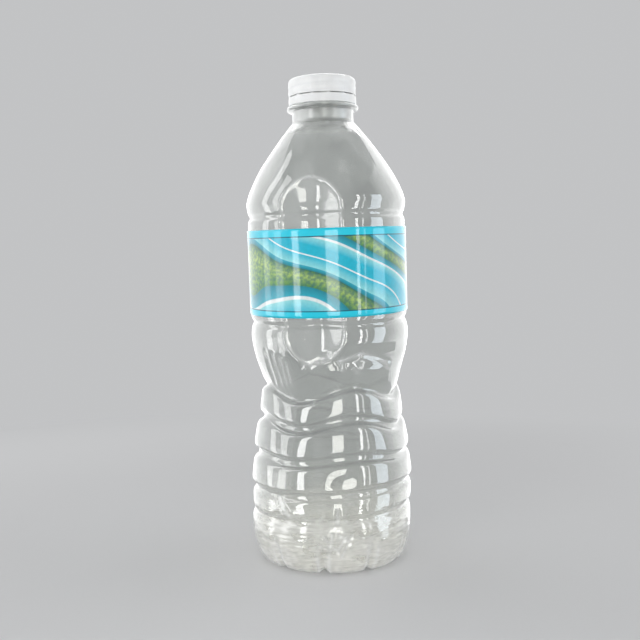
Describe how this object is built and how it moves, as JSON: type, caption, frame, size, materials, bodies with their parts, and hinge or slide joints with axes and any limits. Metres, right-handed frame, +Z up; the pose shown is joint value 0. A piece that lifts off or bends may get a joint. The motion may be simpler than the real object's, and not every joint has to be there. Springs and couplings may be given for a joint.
{
  "type": "dented drinks bottle",
  "caption": "Dented clear plastic drinks bottle: ribbed, waisted body leaning over at a crushed waist, white screw cap, broken tamper band on the neck and a printed film label round it.",
  "frame": {"origin": "on the standing plane, under the middle of the whole part's box", "axes": "+Z up the standing bottle, -Y towards the dented side that the picture shows, +X to that view's right"},
  "size_m": [0.0668, 0.072, 0.1955],
  "materials": {
    "clear_plastic": "clear blown plastic, slightly hazy",
    "white_plastic": "moulded white plastic with a soft sheen",
    "printed_film": "thin printed film with a wet gloss"
  },
  "bodies": {
    "bottle": {"bottle_body": "clear_plastic", "tamper_band": "white_plastic", "wrap_label": "printed_film"},
    "cap": {"screw_cap": "white_plastic"}
  },
  "joints": [
    {"name": "cap_lift", "type": "slide", "parent": "bottle", "child": "cap", "axis": [-0.0261, -0.1045, 0.9942], "range_m": [0, 0.025]}
  ]
}
